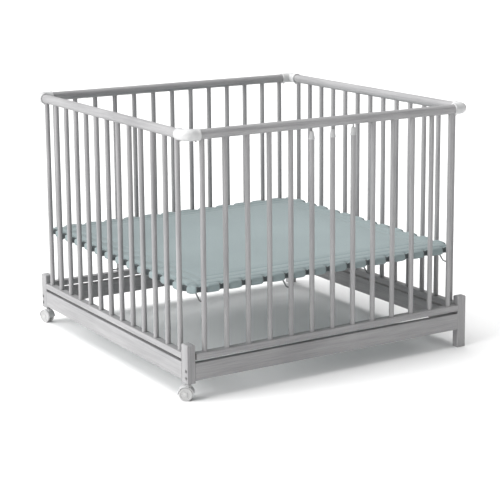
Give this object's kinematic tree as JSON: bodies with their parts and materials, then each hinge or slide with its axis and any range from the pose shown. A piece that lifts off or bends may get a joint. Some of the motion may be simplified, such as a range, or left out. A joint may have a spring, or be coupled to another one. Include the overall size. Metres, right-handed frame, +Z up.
{
  "type": "playpen",
  "caption": "Square barred playpen with a height-adjustable padded floor, spring-loaded slip bars, plastic corner elbows, two casters and two legs.",
  "frame": {"origin": "middle of the playpen on the ground, midway between the outer faces of the base boards", "axes": "+X along the front side, which has the slip bars, towards the legs; +Y from the front to the back; +Z up"},
  "size_m": [0.9948, 0.9888, 0.752],
  "materials": {
    "painted_wood": "satin grey paint over beech, faint grain",
    "white_plastic": "semi-gloss moulded",
    "wheel_plastic": "smooth moulded",
    "zinc_steel": "zinc plated",
    "spring_steel": "plain wire",
    "raw_wood": "unpainted beech dowel",
    "dark_plastic": "moulded",
    "floor_fabric": "coated mint-grey woven cover",
    "foam": "open-cell foam",
    "hardboard": "hardboard"
  },
  "bodies": {
    "root": {"top_rail_front": "painted_wood", "top_rail_back": "painted_wood", "top_rail_left": "painted_wood", "top_rail_right": "painted_wood", "lower_rail_front": "painted_wood", "lower_rail_back": "painted_wood", "lower_rail_left": "painted_wood", "lower_rail_right": "painted_wood", "base_board_front": "painted_wood", "base_board_back": "painted_wood", "base_board_left": "painted_wood", "base_board_right": "painted_wood", "bars_front": "painted_wood", "bars_back": "painted_wood", "bars_left": "painted_wood", "bars_right": "painted_wood", "caster_post_front": "painted_wood", "caster_post_back": "painted_wood", "leg_post_front": "painted_wood", "leg_post_back": "painted_wood", "corner_elbow_front_left": "white_plastic", "corner_elbow_front_right": "white_plastic", "corner_elbow_back_left": "white_plastic", "corner_elbow_back_right": "white_plastic", "frame_bolts": "zinc_steel", "barrel_nuts": "zinc_steel", "elbow_screws": "zinc_steel", "caster_stems": "zinc_steel", "slip_pins": "zinc_steel", "floor_brackets": "zinc_steel", "slip_spring_1": "spring_steel", "slip_spring_2": "spring_steel", "slip_spring_3": "spring_steel", "board_dowels": "raw_wood", "rail_dowels": "raw_wood", "stem_sockets": "dark_plastic"},
    "caster_front": {"caster_hood_front": "white_plastic", "caster_axle_front": "zinc_steel"},
    "caster_back": {"caster_hood_back": "white_plastic", "caster_axle_back": "zinc_steel"},
    "wheel_front_inner": {"caster_wheel_front_inner": "wheel_plastic"},
    "wheel_front_outer": {"caster_wheel_front_outer": "wheel_plastic"},
    "wheel_back_inner": {"caster_wheel_back_inner": "wheel_plastic"},
    "wheel_back_outer": {"caster_wheel_back_outer": "wheel_plastic"},
    "floor": {"floor_cover": "floor_fabric", "floor_pad": "foam", "floor_board": "hardboard"},
    "slip_1": {"slip_bar_1": "painted_wood", "slip_cap_1": "white_plastic"},
    "slip_2": {"slip_bar_2": "painted_wood", "slip_cap_2": "white_plastic"},
    "slip_3": {"slip_bar_3": "painted_wood", "slip_cap_3": "white_plastic"}
  },
  "joints": [
    {"name": "caster_swivel_front", "type": "hinge", "parent": "root", "child": "caster_front", "pos_m": [-0.4725, -0.466, 0.044], "axis": [0, 0, 1], "continuous": true},
    {"name": "wheel_spin_front_inner", "type": "hinge", "parent": "caster_front", "child": "wheel_front_inner", "pos_m": [-0.47823, -0.46198, 0.019], "axis": [0.5736, 0.8192, 0], "continuous": true},
    {"name": "wheel_spin_front_outer", "type": "hinge", "parent": "caster_front", "child": "wheel_front_outer", "pos_m": [-0.47823, -0.46198, 0.019], "axis": [0.5736, 0.8192, 0], "continuous": true},
    {"name": "caster_swivel_back", "type": "hinge", "parent": "root", "child": "caster_back", "pos_m": [-0.4725, 0.466, 0.044], "axis": [0, 0, 1], "continuous": true},
    {"name": "wheel_spin_back_inner", "type": "hinge", "parent": "caster_back", "child": "wheel_back_inner", "pos_m": [-0.47501, 0.47254, 0.019], "axis": [0.9336, 0.3584, 0], "continuous": true},
    {"name": "wheel_spin_back_outer", "type": "hinge", "parent": "caster_back", "child": "wheel_back_outer", "pos_m": [-0.47501, 0.47254, 0.019], "axis": [0.9336, 0.3584, 0], "continuous": true},
    {"name": "floor_lift", "type": "slide", "parent": "root", "child": "floor", "axis": [0, 0, 1], "range_m": [0, 0.143]},
    {"name": "slip_lift_1", "type": "slide", "parent": "root", "child": "slip_1", "axis": [0, 0, 1], "range_m": [0, 0.008], "stiffness_N_per_m": 350, "springref_m": -0.008, "deforming": ["slip_spring_1"]},
    {"name": "slip_lift_2", "type": "slide", "parent": "root", "child": "slip_2", "axis": [0, 0, 1], "range_m": [0, 0.008], "stiffness_N_per_m": 350, "springref_m": -0.008, "deforming": ["slip_spring_2"]},
    {"name": "slip_lift_3", "type": "slide", "parent": "root", "child": "slip_3", "axis": [0, 0, 1], "range_m": [0, 0.008], "stiffness_N_per_m": 350, "springref_m": -0.008, "deforming": ["slip_spring_3"]}
  ]
}
